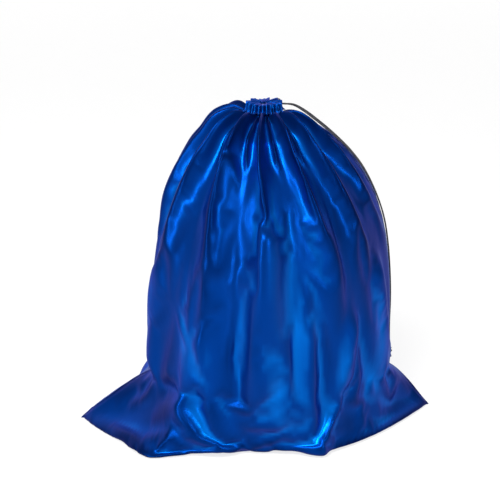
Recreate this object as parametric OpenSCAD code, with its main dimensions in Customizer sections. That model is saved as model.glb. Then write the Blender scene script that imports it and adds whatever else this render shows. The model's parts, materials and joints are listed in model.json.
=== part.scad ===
// Sack race bag: a two-panel drawstring sack, drawn shut and standing full on its base.
// X runs along the width with the cord's side at +X, the front faces -Y and +Z is up.
// The origin is on the resting surface, under the middle of the sack.

/* [Body] */
// Width of the filled body between its side seams
body_w = 464; // [440:1:480]
// Depth of the filled body divided by its width
depth_ratio = 0.88; // [0.8:0.01:0.9]
// Height at which the straight side turns into the shoulder
dome_z = 240; // [230:5:250]
// Height of the shoulder above that, up to where its curve would close
dome_h = 350; // [340:1:360]
// Thickness of the panels' stand-in wall
wall = 1.5; // [1.2:0.1:2]

/* [Ears] */
// Distance between the tips of the two flattened bottom corners
ear_span = 690; // [640:5:720]
// Height at which each ear leaves the side seam
ear_h = 106; // [90:1:125]

/* [Seams] */
// Width of the seam allowance on the inside
allowance = 9; // [7:0.5:11]
// Thickness of the two turned-in plies of a seam
seam_t = 1.2; // [0.8:0.1:1.6]
// Thickness of a row of thread
thread_t = 0.5; // [0.4:0.1:0.7]

/* [Mouth] */
// Outer radius of the gathered casing
casing_r = 31; // [29:0.5:31]
// Height of the gathered casing
casing_h = 16; // [14:0.5:18]
// Radius of the throat left open in the gathers
throat_r = 13; // [12:0.5:15]
// Direction of the cord exit, turned from +X towards the back
exit_az = 50; // [45:1:55]

/* [Drawstring] */
// Diameter of the cord
cord_d = 3; // [2.5:0.1:3]
// Radius of the cord's loop in the casing
loop_r = 22; // [21.5:0.1:22.5]
// Downward slope of the cord through the lock
cord_drop = 12; // [10:1:13]

/* [Cord lock] */
// Outer diameter of the lock's barrel
barrel_d = 15; // [14:0.5:15.5]
// Travel of the plunger
press = 2.5; // [2:0.1:2.5]
// Travel of the lock along the straight stretch of cord
slide = 20; // [15:1:20]

/* [Hidden] */
fabric_color = [0.02, 0.16, 0.62];
seam_color = [0.02, 0.10, 0.42];
thread_color = [0.03, 0.08, 0.30];
cord_color = [0.07, 0.07, 0.10];
lock_color = [0.06, 0.06, 0.07];
$fn = 64;

// Profile of the side
half_w = body_w / 2;
edge_r = 10;
cols = 24;
edge_rows = 3;
ear_rows = 4;
side_rows = 3;
dome_rows = 14;
dome_p = 2.4;
dome_q = 1.9;
ear_point = 0.7;
neck_r = casing_r - 2;
dome_end = acos(pow(neck_r / half_w, dome_q / 2));
casing_z = dome_z + dome_h + 1.5;
casing_top = casing_z + casing_h;
first_seam_row = edge_rows + 1;
seam_clear = 0.05;

// Gathered mouth
channel = 3.5;
slot_w = 13;
slot_half = asin(slot_w / 2 / casing_r);
thread_gap = 1.2;
stitches = 30;

// Cord exit
cord_r = cord_d / 2;
cord_z = casing_z + casing_h / 2;
cord_side = cord_r + 0.3;
bend_r = 5;
bend_az = asin((cord_side + bend_r) / (loop_r + bend_r));
bend_u = sqrt(pow(loop_r + bend_r, 2) - pow(cord_side + bend_r, 2));
drop_u = bend_u + 2;

// Cord lock, measured from the point where the cords cross its axis
barrel_r = barrel_d / 2;
pinch = 0.4;
hole_h = cord_d + 2 * pinch;
hole_w = 2 * (cord_side + cord_r + pinch);
cavity_r = 5.9;
mouth_r = 5.1;
fit = 0.3;
floor_t = 1.2;
web = 2;
spring_solid = 1.8;
plunger_low = -hole_h / 2 - web;
cavity_low = plunger_low - press - spring_solid;
barrel_low = cavity_low - floor_t;
shoulder_z = 4.6;
barrel_top = 6.2;
button_top = barrel_top + press + 1.2;
button_round = 9;
round_r = 1.5;
wire_d = 0.8;
coil_r = 4.2;
coil_turns = 2.5;
lock_u = casing_r + barrel_r + 3.5;
lock_z = cord_z - (lock_u - drop_u) * tan(cord_drop);
straight_u = lock_u + barrel_r + slide + 4;

// Routes of the two tails beyond their straight stretch, down the right shoulder to the knot
front_route = [
    [62, 62, 585], [79, 56, 575], [97, 42, 563], [115, 27, 550], [135, 14, 534],
    [157, 4, 513], [181, -1, 481], [204, -3, 437], [220, -4, 392], [229, -4, 346],
    [235, -4, 290], [238, -4, 235], [238, -4, 180], [239, -3, 145], [241, -2, 124]
];
back_route = [
    [63, 69, 585], [83, 66, 574], [102, 54, 561], [120, 38, 548], [139, 24, 532],
    [160, 13, 511], [183, 7, 480], [205, 4, 436], [221, 3, 391], [230, 2, 345],
    [236, 2, 290], [239, 2, 235], [239, 2, 180], [240, 2, 145], [241, 2, 124]
];
knot_at = [241, 0, 124];
knot_r = 4.6;
knot_h = 8;
tag_len = 7;
cord_sides = 8;
path_steps = 3;
tail_ref = [1, 1, 1.4]; // no stretch of a tail runs along this

// How much of the ear is left at a height: 1 on the floor, 0 above the ear
function ear_share(z) = max(0, 1 - z / ear_h);

// Distance from the middle to the side seam below the shoulder
function side_x(z) = half_w + (ear_span / 2 - half_w) * ear_share(z);

// Depth of the cross-section as a share of its width: round at the neck
function depth_share(z) = depth_ratio + (1 - depth_ratio) * pow(z / casing_z, 4);

// The side seam's line as [distance from the middle, height], from the base to the neck
rows = concat(
    [for (k = [0:edge_rows])
        let (a = 90 * k / edge_rows, z = edge_r * (1 - cos(a)))
        [side_x(z) - edge_r * (1 - sin(a)), z]],
    [for (k = [1:ear_rows])
        let (z = edge_r + (ear_h - edge_r) * k / ear_rows)
        [side_x(z), z]],
    [for (k = [1:side_rows])
        [half_w, ear_h + (dome_z - ear_h) * k / side_rows]],
    [for (k = [1:dome_rows])
        let (a = dome_end * k / dome_rows)
        [half_w * pow(cos(a), 2 / dome_q), dome_z + dome_h * pow(sin(a), 2 / dome_p)]],
    [[neck_r, casing_z]]
);
last_row = len(rows) - 1;

function unit(v) = v / norm(v);

// Inward normal of the side line at a row
function inward(i) =
    i == 0 ? [0, 1] :
    i == last_row ? [-1, 0] :
    let (t = unit(rows[i + 1] - rows[i - 1])) [-t.y, t.x];

// Half of a cross-section on the -Y side, moved inwards by a distance
function half_ring(i, depth) =
    let (
        p = rows[i] + depth * inward(i),
        b = rows[i].x * depth_share(rows[i].y) + depth * inward(i).x
            - (ear_span / 2 - half_w) * ear_share(rows[i].y) * depth_ratio,
        power = 1 + ear_point * ear_share(rows[i].y)
    )
    [for (j = [0:cols])
        let (t = 180 * j / cols)
        [p.x * cos(t), -seam_t / 2 - b * pow(abs(sin(t)), power), p.y]];

function join(lists) = [for (l = lists) for (item = l) item];

// Two triangles for the cell between grid points a, b on one line and c, d on the next
function cell(a, b, c, d, flip) = flip ? [[a, c, b], [b, c, d]] : [[a, b, c], [b, d, c]];

// One panel: the half shell from the middle of the base up to the neck
module half_shell() {
    n = cols + 1;
    in0 = n * (last_row + 1);
    points = concat(
        join([for (i = [0:last_row]) half_ring(i, 0)]),
        join([for (i = [0:last_row]) half_ring(i, wall)])
    );
    faces = concat(
        join([for (i = [0:last_row - 1]) for (j = [0:cols - 1])
            cell(i * n + j, i * n + j + 1, (i + 1) * n + j, (i + 1) * n + j + 1, false)]),
        join([for (i = [0:last_row - 1]) for (j = [0:cols - 1])
            cell(in0 + i * n + j, in0 + i * n + j + 1,
                in0 + (i + 1) * n + j, in0 + (i + 1) * n + j + 1, true)]),
        join([for (i = [0:last_row - 1])
            cell(i * n, (i + 1) * n, in0 + i * n, in0 + (i + 1) * n, false)]),
        join([for (i = [0:last_row - 1])
            cell(i * n + cols, (i + 1) * n + cols,
                in0 + i * n + cols, in0 + (i + 1) * n + cols, true)]),
        join([for (j = [0:cols - 1])
            cell(last_row * n + j, last_row * n + j + 1,
                in0 + last_row * n + j, in0 + last_row * n + j + 1, false)]),
        [[for (j = [0:cols]) cols - j]],
        [[for (j = [0:cols]) in0 + j]],
        cell(0, in0, cols, in0 + cols, false)
    );
    polyhedron(points = points, faces = faces, convexity = 8);
}

// A strip beside the right seam, between two depths inwards and two offsets across
module seam_strip(depth_a, depth_b, across_a, across_b) {
    count = last_row - first_seam_row;
    points = join([for (i = [first_seam_row:last_row - 1])
        let (a = rows[i] + depth_a * inward(i), b = rows[i] + depth_b * inward(i))
        [
            [a.x, across_a, a.y], [a.x, across_b, a.y],
            [b.x, across_b, b.y], [b.x, across_a, b.y]
        ]]);
    faces = concat(
        join([for (i = [0:count - 2]) for (j = [0:3])
            cell(4 * i + j, 4 * i + (j + 1) % 4, 4 * i + 4 + j, 4 * i + 4 + (j + 1) % 4, true)]),
        [[0, 1, 2, 3]],
        [[for (j = [0:3]) 4 * count - 1 - j]]
    );
    polyhedron(points = points, faces = faces, convexity = 8);
}

// Both rows of thread of a side seam, one on each face of the allowance
module seam_threads() {
    for (face = [-1, 1]) {
        near = face * seam_t / 2;
        far = face * (seam_t / 2 + thread_t);
        seam_strip(allowance / 2, allowance / 2 + thread_t, min(near, far), max(near, far));
    }
}

// A rounded tube of the cord's kind along a path, with its sides set by a reference direction
module tube(path, r, ref) {
    last = len(path) - 1;
    points = join([for (i = [0:last])
        let (
            t = unit(path[min(i + 1, last)] - path[max(i - 1, 0)]),
            e = unit(cross(t, ref)),
            f = cross(t, e)
        )
        [for (k = [0:cord_sides - 1])
            let (a = 360 * k / cord_sides)
            path[i] + r * (cos(a) * e + sin(a) * f)]]);
    faces = concat(
        join([for (i = [0:last - 1]) for (k = [0:cord_sides - 1])
            cell(i * cord_sides + k, i * cord_sides + (k + 1) % cord_sides,
                (i + 1) * cord_sides + k, (i + 1) * cord_sides + (k + 1) % cord_sides, true)]),
        [[for (k = [0:cord_sides - 1]) k]],
        [[for (k = [0:cord_sides - 1]) last * cord_sides + cord_sides - 1 - k]]
    );
    polyhedron(points = points, faces = faces, convexity = 10);
}

// A point at a distance out along the cord exit, with an offset across it
function exit_point(u, v, z) =
    [u * cos(exit_az) - v * sin(exit_az), u * sin(exit_az) + v * cos(exit_az), z];

// A point of the sloping straight stretch that the lock slides on
function straight_point(u, v) = exit_point(u, v, cord_z - (u - drop_u) * tan(cord_drop));

// A smooth line through the points: cubic pieces with a shared slope at each point
function curve(p) =
    let (last = len(p) - 1)
    concat(
        join([for (i = [0:last - 1])
            let (
                a = p[max(i - 1, 0)],
                b = p[i],
                c = p[i + 1],
                d = p[min(i + 2, last)]
            )
            [for (k = [0:path_steps - 1])
                let (t = k / path_steps)
                b + t * ((c - a) / 2
                    + t * (a - 2.5 * b + 2 * c - d / 2
                    + t * (1.5 * (b - c) + (d - a) / 2)))]]),
        [p[last]]
    );

// The bend from the loop's circle to the cord exit, on one side of it
function exit_bend(side) =
    let (first = 180 + bend_az, steps = 5)
    [for (k = [0, 0.3, 1, 2, 3, 4, 4.7, 5])
        let (a = first + (270 - first) * k / steps)
        exit_point(bend_u + bend_r * cos(a),
            side * (cord_side + bend_r + bend_r * sin(a)), cord_z)];

// One tail: off the loop, out of the slot, through the lock, then along its route
module tail(side, route) {
    v = side * cord_side;
    tube(
        concat(
            exit_bend(side),
            [exit_point(drop_u - 0.5, v, cord_z), straight_point(drop_u + 1, v)],
            curve(concat([straight_point(straight_u - 8, v), straight_point(straight_u, v)], route))
        ),
        cord_r, tail_ref
    );
}

// Puts a child at the cord lock, its X along the cords and its Z along the plunger
module at_lock() {
    translate(exit_point(lock_u, 0, lock_z)) rotate([0, cord_drop, exit_az]) children();
}

// Half of the gathered casing, with the cord's channel inside
module casing_half(from_az, to_az) {
    translate([0, 0, casing_z]) rotate([0, 0, from_az])
        rotate_extrude(angle = to_az - from_az, $fn = 96) difference() {
            union() {
                translate([throat_r, 1]) square([casing_r - throat_r, casing_h - 2]);
                translate([throat_r + 1, 0]) square([casing_r - throat_r - 2, casing_h]);
                for (x = [throat_r + 1, casing_r - 1]) {
                    for (y = [1, casing_h - 1]) {
                        translate([x, y]) circle(1);
                    }
                }
            }
            translate([loop_r, casing_h / 2]) circle(channel);
        }
}

module front_panel() {
    color(fabric_color) half_shell();
}

module back_panel() {
    color(fabric_color) rotate([0, 0, 180]) half_shell();
}

module front_casing() {
    color(fabric_color) casing_half(180, 360);
}

module back_casing() {
    color(fabric_color) difference() {
        casing_half(0, 180);
        translate([0, 0, cord_z - channel]) rotate([0, 0, exit_az])
            translate([loop_r, -slot_w / 2, 0]) cube([casing_r, slot_w, 2 * channel]);
    }
}

module right_side_seam() {
    color(seam_color) seam_strip(fit, allowance, seam_clear - seam_t / 2, seam_t / 2 - seam_clear);
}

module left_side_seam() {
    color(seam_color) rotate([0, 0, 180])
        seam_strip(fit, allowance, seam_clear - seam_t / 2, seam_t / 2 - seam_clear);
}

module bottom_seam() {
    length = 2 * (rows[edge_rows].x - 2 * edge_r);
    color(seam_color) translate([-length / 2, -seam_t / 2, wall]) cube([length, seam_t, allowance]);
}

module right_seam_thread() {
    color(thread_color) seam_threads();
}

module left_seam_thread() {
    color(thread_color) rotate([0, 0, 180]) seam_threads();
}

module bottom_seam_thread() {
    length = 2 * (rows[edge_rows].x - 3 * edge_r);
    color(thread_color)
        for (face = [0, 1]) {
            mirror([0, face, 0])
                translate([-length / 2, seam_t / 2, wall + allowance / 2])
                    cube([length, thread_t, thread_t]);
        }
}

module casing_thread() {
    pitch = 360 / stitches;
    color(thread_color)
        for (k = [0:stitches - 1]) {
            rotate([0, 0, (k + 0.2) * pitch])
                translate([0, 0, casing_z + thread_gap])
                    rotate_extrude(angle = 0.6 * pitch)
                        translate([casing_r, 0]) square([thread_t, thread_t]);
        }
}

module exit_bar_tacks() {
    tack_az = 4;
    color(thread_color)
        for (start = [slot_half + 0.5, -slot_half - 0.5 - tack_az]) {
            rotate([0, 0, exit_az + start])
                translate([0, 0, cord_z - channel])
                    rotate_extrude(angle = tack_az)
                        translate([casing_r, 0]) square([2 * thread_t, 2 * channel]);
        }
}

module drawstring_loop() {
    color(cord_color) translate([0, 0, cord_z]) rotate([0, 0, exit_az + bend_az])
        rotate_extrude(angle = 360 - 2 * bend_az) translate([loop_r, 0]) circle(cord_r);
}

module front_tail() {
    color(cord_color) tail(-1, front_route);
}

module back_tail() {
    color(cord_color) tail(1, back_route);
}

module tail_knot() {
    color(cord_color) translate(knot_at - [0, 0, knot_h]) {
        rotate_extrude() intersection() {
            square([knot_r, knot_h]);
            translate([0, knot_h / 2]) circle(knot_r + 0.6);
        }
        for (side = [-1, 1]) {
            translate([0, 2 * side, -tag_len]) cylinder(d = cord_d, h = tag_len + 1);
        }
    }
}

module lock_barrel() {
    height = barrel_top - barrel_low;
    color(lock_color) at_lock() difference() {
        rotate_extrude() translate([0, barrel_low]) difference() {
            union() {
                square([barrel_r - round_r, height]);
                translate([0, round_r]) square([barrel_r, height - 2 * round_r]);
                for (y = [round_r, height - round_r]) {
                    translate([barrel_r - round_r, y]) circle(round_r);
                }
            }
            translate([0, floor_t]) square([cavity_r, shoulder_z - cavity_low]);
            translate([0, floor_t]) square([mouth_r, height]);
        }
        cord_hole(hole_h);
    }
}

// The slot for two cords side by side, with rounded ends
module cord_hole(h) {
    end_y = (hole_w - h) / 2;
    for (side = [-1, 1]) {
        translate([-barrel_d, side * end_y, 0]) rotate([0, 90, 0]) cylinder(d = h, h = 2 * barrel_d);
    }
    translate([-barrel_d, -end_y, -h / 2]) cube([2 * barrel_d, 2 * end_y, h]);
}

module lock_plunger() {
    color(lock_color) at_lock() difference() {
        union() {
            translate([0, 0, plunger_low])
                cylinder(r = cavity_r - fit, h = shoulder_z - fit - plunger_low);
            rotate_extrude() intersection() {
                square([mouth_r - fit, button_top]);
                translate([0, button_top - button_round]) circle(button_round);
            }
        }
        translate([-barrel_d, -hole_w / 2, -hole_h / 2])
            cube([2 * barrel_d, hole_w, hole_h + press]);
    }
}

module lock_spring() {
    low = cavity_low + wire_d / 2 + 0.05;
    high = plunger_low - wire_d / 2 - 0.05;
    turns = 12 * coil_turns;
    color("silver") at_lock()
        tube(
            [for (k = [0:turns]) [coil_r * cos(30 * k), coil_r * sin(30 * k), low + (high - low) * k / turns]],
            wire_d / 2, [0, 0, 1]
        );
}

front_panel();
back_panel();
front_casing();
back_casing();
left_side_seam();
right_side_seam();
bottom_seam();
left_seam_thread();
right_seam_thread();
bottom_seam_thread();
casing_thread();
exit_bar_tacks();
drawstring_loop();
front_tail();
back_tail();
tail_knot();
lock_barrel();
lock_plunger();
lock_spring();
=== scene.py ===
"""A drawn-shut sack race bag, standing full on its base, as a cloth simulation with its cord."""

import bisect
import json
import logging
import math
from dataclasses import dataclass, field
from enum import Enum
from typing import Callable, Iterable, Sequence

import bmesh
import bpy
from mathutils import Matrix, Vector, noise
from mathutils.kdtree import KDTree

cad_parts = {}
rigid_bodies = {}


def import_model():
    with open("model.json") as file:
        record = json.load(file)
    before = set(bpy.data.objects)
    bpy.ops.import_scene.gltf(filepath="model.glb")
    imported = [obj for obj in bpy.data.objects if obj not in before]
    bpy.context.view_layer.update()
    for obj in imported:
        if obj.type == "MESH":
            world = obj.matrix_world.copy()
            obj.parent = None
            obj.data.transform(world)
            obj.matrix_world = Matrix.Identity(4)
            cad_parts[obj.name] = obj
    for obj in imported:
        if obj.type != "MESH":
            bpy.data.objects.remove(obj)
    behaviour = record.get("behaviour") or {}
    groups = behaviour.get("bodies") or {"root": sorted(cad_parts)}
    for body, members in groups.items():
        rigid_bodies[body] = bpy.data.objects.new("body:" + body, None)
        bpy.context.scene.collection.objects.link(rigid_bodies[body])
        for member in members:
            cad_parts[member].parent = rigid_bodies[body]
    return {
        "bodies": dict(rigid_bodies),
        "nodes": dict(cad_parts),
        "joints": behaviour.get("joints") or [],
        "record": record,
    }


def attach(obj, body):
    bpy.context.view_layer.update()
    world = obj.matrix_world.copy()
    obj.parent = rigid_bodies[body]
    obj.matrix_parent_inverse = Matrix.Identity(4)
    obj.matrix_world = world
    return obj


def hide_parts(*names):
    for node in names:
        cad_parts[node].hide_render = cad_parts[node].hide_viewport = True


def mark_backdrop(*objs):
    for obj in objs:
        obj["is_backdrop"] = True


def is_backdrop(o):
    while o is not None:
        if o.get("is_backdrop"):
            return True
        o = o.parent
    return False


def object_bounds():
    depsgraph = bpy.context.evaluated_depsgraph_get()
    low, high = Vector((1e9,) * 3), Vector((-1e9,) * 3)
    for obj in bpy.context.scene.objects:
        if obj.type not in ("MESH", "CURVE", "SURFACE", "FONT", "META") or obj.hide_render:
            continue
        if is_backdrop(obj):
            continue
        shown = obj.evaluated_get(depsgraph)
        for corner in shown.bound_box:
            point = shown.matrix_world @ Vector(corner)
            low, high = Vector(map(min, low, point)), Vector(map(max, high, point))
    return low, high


log = logging.getLogger("sack")
MM = 0.001
SACK_BODY = "sack"
CORD_REACH = 2.6 * MM
EXIT_AZ = 50.0
CORD_Z = 0.5995


class Slot(Enum):
    """Names for the kinds of finish of the new pieces."""

    FABRIC = "sack_fabric"
    SEAM = "seam_fabric"
    THREAD = "thread"
    CORD = "cord"


class Side(Enum):
    """The two halves of the sack."""

    FRONT = "front"
    BACK = "back"


def smooth(share: float) -> float:
    """A soft step from 0 to 1 as share goes from 0 to 1."""
    share = min(max(share, 0.0), 1.0)
    return share * share * (3 - 2 * share)


def mix(a: float, b: float, share: float) -> float:
    """The value at a share of the way from a to b."""
    return a + (b - a) * share


def between(value: float, low: float, rise: float, high: float, fall: float) -> float:
    """1 from low + rise up to high, falling softly to 0 at low and at high + fall."""
    return smooth((value - low) / rise) * (1 - smooth((value - high) / fall))


def angle_between(azimuth: float, other: float) -> float:
    """The signed angle in degrees from one azimuth to another, by the shorter way."""
    return (azimuth - other + 180) % 360 - 180


def cylindrical(radius: float, azimuth: float, z: float) -> Vector:
    """A point from a radius and an azimuth in degrees, counted from +X towards the back."""
    angle = math.radians(azimuth)
    return Vector((radius * math.cos(angle), radius * math.sin(angle), z))


def catmull(points: Sequence[Vector], steps: int) -> list[Vector]:
    """A smooth line through some points.

    Args:
        points: the points that the line passes.
        steps: how many pieces each span is cut into.

    Returns:
        The points of the line.
    """
    last = len(points) - 1
    line = []
    for i in range(last):
        a, b = points[max(i - 1, 0)], points[i]
        c, d = points[i + 1], points[min(i + 2, last)]
        for k in range(steps):
            t = k / steps
            cubic = a - 2.5 * b + 2 * c - d / 2 + t * (1.5 * (b - c) + (d - a) / 2)
            line.append(b + t * ((c - a) / 2 + t * cubic))
    line.append(points[last].copy())
    return line


def length_of(points: Sequence[Vector]) -> float:
    """The length of a line through some points."""
    return sum((b - a).length for a, b in zip(points, points[1:]))


def linked(name: str, data: bpy.types.ID) -> bpy.types.Object:
    """A new object of the scene."""
    made = bpy.data.objects.new(name, data)
    bpy.context.collection.objects.link(made)
    return made


def mesh_object(name: str, bm: bmesh.types.BMesh) -> bpy.types.Object:
    """A new object from a bmesh, which is freed."""
    mesh = bpy.data.meshes.new(name)
    bm.to_mesh(mesh)
    bm.free()
    return linked(name, mesh)


def stand_for(made: bpy.types.Object, node: str, slot: Slot) -> None:
    """Puts a piece in the place of a CAD node of the sack's body."""
    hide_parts(node)
    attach(made, SACK_BODY)


# ---------------------------------------------------------------- shaders


class Value:
    """A shader socket that takes part in arithmetic."""

    def __init__(self, graph: "Graph", socket: bpy.types.NodeSocket) -> None:
        """Wraps an output socket of a graph."""
        self.graph = graph
        self.socket = socket

    def __add__(self, other: "Value | float") -> "Value":
        """This value plus another."""
        return self.graph.math("ADD", self, other)

    def __radd__(self, other: float) -> "Value":
        """A number plus this value."""
        return self.graph.math("ADD", other, self)

    def __sub__(self, other: "Value | float") -> "Value":
        """This value less another."""
        return self.graph.math("SUBTRACT", self, other)

    def __rsub__(self, other: float) -> "Value":
        """A number less this value."""
        return self.graph.math("SUBTRACT", other, self)

    def __mul__(self, other: "Value | float") -> "Value":
        """This value times another."""
        return self.graph.math("MULTIPLY", self, other)

    def __rmul__(self, other: float) -> "Value":
        """A number times this value."""
        return self.graph.math("MULTIPLY", other, self)

    def sine(self) -> "Value":
        """The sine of this value."""
        return self.graph.math("SINE", self)

    def clamped(self) -> "Value":
        """This value kept between 0 and 1."""
        return self.graph.math("MINIMUM", self.graph.math("MAXIMUM", self, 0.0), 1.0)


class Graph:
    """The node tree of one new material with one principled shader."""

    def __init__(self, name: str) -> None:
        """Starts a material with only its shader and its output.

        Args:
            name: the material's name.
        """
        self.material = bpy.data.materials.new(name)
        self.material.use_nodes = True
        self.tree = self.material.node_tree
        self.tree.nodes.clear()
        self.shader = self.node("ShaderNodeBsdfPrincipled")
        output = self.node("ShaderNodeOutputMaterial")
        self.tree.links.new(self.shader.outputs["BSDF"], output.inputs["Surface"])

    def node(
        self, kind: str, settings: dict | None = None, inputs: dict | None = None
    ) -> bpy.types.Node:
        """Adds a node.

        Args:
            kind: the node's type.
            settings: values of its properties.
            inputs: what goes into its sockets, by name or number: a Value or a constant.

        Returns:
            The new node.
        """
        made = self.tree.nodes.new(kind)
        for key, value in (settings or {}).items():
            setattr(made, key, value)
        for key, value in (inputs or {}).items():
            self.feed(made.inputs[key], value)
        return made

    def feed(self, socket: bpy.types.NodeSocket, value: object) -> None:
        """Puts a Value or a constant into a socket."""
        if isinstance(value, Value):
            self.tree.links.new(value.socket, socket)
        else:
            socket.default_value = value

    def math(self, operation: str, *terms: "Value | float") -> Value:
        """A sum, product or other operation on its terms."""
        inputs = {i: term for i, term in enumerate(terms)}
        return Value(self, self.node("ShaderNodeMath", {"operation": operation}, inputs).outputs[0])

    def color_mix(self, factor: Value, low: "Value | tuple", high: tuple) -> Value:
        """A colour between low and high, set by factor."""
        low = low if isinstance(low, Value) else (*low, 1.0)
        inputs = {"Factor": factor, 6: low, 7: (*high, 1.0)}
        return Value(self, self.node("ShaderNodeMix", {"data_type": "RGBA"}, inputs).outputs[2])

    def place(self, scale: Sequence[float]) -> Value:
        """The object's own coordinates multiplied by scale."""
        source = self.node("ShaderNodeTexCoord").outputs["Object"]
        scaled = self.node("ShaderNodeVectorMath", {"operation": "MULTIPLY"})
        self.tree.links.new(source, scaled.inputs[0])
        scaled.inputs[1].default_value = scale
        return Value(self, scaled.outputs[0])

    def axis(self, vector: Value, name: str) -> Value:
        """One component of a vector, X, Y or Z."""
        split = self.node("ShaderNodeSeparateXYZ", inputs={0: vector})
        return Value(self, split.outputs[name])

    def noise(
        self, where: Value, scale: float, detail: float = 3.0, distortion: float = 0.0
    ) -> Value:
        """Smooth noise between 0 and 1 at some coordinates."""
        inputs = {"Vector": where, "Scale": scale, "Detail": detail, "Distortion": distortion}
        return Value(self, self.node("ShaderNodeTexNoise", inputs=inputs).outputs[0])

    def attribute(self, name: str) -> Value:
        """A vertex attribute's value."""
        made = self.node("ShaderNodeAttribute", {"attribute_name": name})
        return Value(self, made.outputs["Fac"])

    def constants(self, **values: object) -> None:
        """Sets sockets of the shader that don't vary, with _ for spaces in their names."""
        for key, value in values.items():
            self.shader.inputs[key.replace("_", " ")].default_value = value

    def bump(self, height: Value, distance: float, strength: float = 1.0) -> None:
        """Roughens the shader's normal by a height between 0 and 1 times distance in metres."""
        inputs = {"Height": height, "Distance": distance, "Strength": strength}
        made = self.node("ShaderNodeBump", inputs=inputs)
        self.tree.links.new(made.outputs["Normal"], self.shader.inputs["Normal"])


@dataclass(frozen=True)
class NylonFinish:
    """Thin coated nylon: saturated and satin, with painted highlight on the crests of its folds and
    painted shade in their valleys.
    """

    # deep is the painted shade colour of valleys and of the darker random patches; bright is the
    # painted highlight colour of crests and of the lighter random patches
    deep: tuple = (0.0003, 0.007, 0.062)
    mid: tuple = (0.0004, 0.030, 0.205)
    bright: tuple = (0.0008, 0.150, 0.62)
    edge: tuple = (0.0, 0.34, 0.95)
    roughness: float = 0.35
    metallic: float = 0.62
    # how strongly the fold attribute paints highlight on crests and shade in valleys
    painted_fold_weight: float = 0.36
    patches: float = 0.9
    middle_tone: float = 0.42
    grain: float = 0.6 * MM

    def make(self, name: str) -> bpy.types.Material:
        """Makes the material of this finish.

        Args:
            name: the material's name.

        Returns:
            The material.
        """
        graph = Graph(name)
        where = graph.place((1.0, 1.0, 0.45))
        fine = graph.noise(where, 90.0, 3.0, 0.3)
        broad = graph.noise(where, 7.0, 2.0, 0.3)
        # painted light: the fold attribute lightens crests and darkens valleys; the broad noise
        # adds random patches of tone
        painted_fold_light = graph.attribute("painted_fold_light")
        tone = (painted_fold_light * self.painted_fold_weight + (broad - 0.5) * self.patches + self.middle_tone).clamped()
        low = graph.color_mix((tone * 2.0).clamped(), self.deep, self.mid)
        color = graph.color_mix((tone * 2.0 - 1.0).clamped(), low, self.bright)
        graph.feed(graph.shader.inputs["Base Color"], color)
        graph.feed(graph.shader.inputs["Roughness"], (broad - 0.5) * 0.10 + self.roughness)
        graph.constants(Metallic=self.metallic, Specular_IOR_Level=0.25)
        graph.constants(Specular_Tint=(*self.edge, 1.0))
        graph.bump(fine, self.grain, 0.4)
        return graph.material


@dataclass(frozen=True)
class PlainFinish:
    """Moulded plastic, metal, thread or a floor: one colour with a fine grain."""

    color: tuple
    roughness: float
    metallic: float = 0.0
    coat: float = 0.0
    specular: float = 0.5
    grain: float = 0.0
    grain_scale: float = 900.0
    glow: float = 0.0

    def make(self, name: str) -> bpy.types.Material:
        """Makes the material of this finish.

        Args:
            name: the material's name.

        Returns:
            The material.
        """
        graph = Graph(name)
        graph.constants(Base_Color=(*self.color, 1.0), Metallic=self.metallic)
        graph.constants(Coat_Weight=self.coat, Coat_Roughness=0.08)
        graph.constants(Specular_IOR_Level=self.specular)
        if self.glow > 0:
            graph.constants(Emission_Color=(1.0, 1.0, 1.0, 1.0), Emission_Strength=self.glow)
        spots = graph.noise(graph.place((1.0, 1.0, 1.0)), self.grain_scale * 0.1, 2.0)
        graph.feed(graph.shader.inputs["Roughness"], (spots - 0.5) * 0.08 + self.roughness)
        if self.grain > 0:
            height = graph.noise(graph.place((1.0, 1.0, 1.0)), self.grain_scale, 2.0)
            graph.bump(height, self.grain, 0.6)
        return graph.material


@dataclass(frozen=True)
class BraidFinish:
    """Braided cord: two families of strands that cross, with painted highlight on the strands' tops
    and painted shade in the grooves between them.
    """

    color: tuple = (0.010, 0.010, 0.013)
    # the colour of the painted highlight on the strands' tops
    light: tuple = (0.045, 0.045, 0.055)
    pitch: float = 0.0022

    def make(self, name: str) -> bpy.types.Material:
        """Makes the material of this finish.

        Args:
            name: the material's name.

        Returns:
            The material.
        """
        graph = Graph(name)
        turn = 2 * math.pi / self.pitch
        where = graph.place((1.0, 1.0, 1.0))
        x, y, z = (graph.axis(where, a) for a in ("X", "Y", "Z"))
        one = ((x * 1.3 + z) * turn).sine()
        other = ((y * 1.3 - z) * turn).sine()
        height = ((one * other) * 0.5 + 0.5).clamped()
        # painted highlight on the strands' tops, painted shade in the grooves
        color = graph.color_mix(height, self.color, self.light)
        graph.feed(graph.shader.inputs["Base Color"], color)
        graph.constants(Roughness=0.62, Specular_IOR_Level=0.35)
        graph.bump(height, 0.0005, 0.7)
        return graph.material


# ---------------------------------------------------------------- the cloth of the sack


@dataclass(frozen=True)
class SackSize:
    """The flat sack and the shape that it fills, in metres.

    half is half the filled width, p and q shape the dome above dome_z, the tips are the two
    bottom corners, and a base gives the reach and the power of the outline towards its corner.
    """

    flat_width: float = 0.700
    flat_length: float = 0.920
    half: float = 0.2190
    lean: float = 0.009
    depth_ratio: float = 0.87
    dome_z: float = 0.240
    dome_h: float = 0.350
    p: float = 2.4
    q: float = 1.9
    left_tip: float = 0.352
    right_tip: float = 0.324
    left_base: tuple[float, float] = (0.34, 1.3)
    right_base: tuple[float, float] = (0.72, 1.6)
    ear_h: float = 0.106
    neck_r: float = 0.0262
    neck_z: float = 0.5935
    columns: int = 84
    rows: int = 108


@dataclass(frozen=True)
class Gather:
    """One big fold that runs down from the mouth.

    Azimuths are in degrees from +X towards the back, at the mouth and on the body; low is the
    share of the sack's length at which the fold ends, and height scales it.
    """

    at_mouth: float
    on_body: float
    low: float
    height: float


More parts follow.
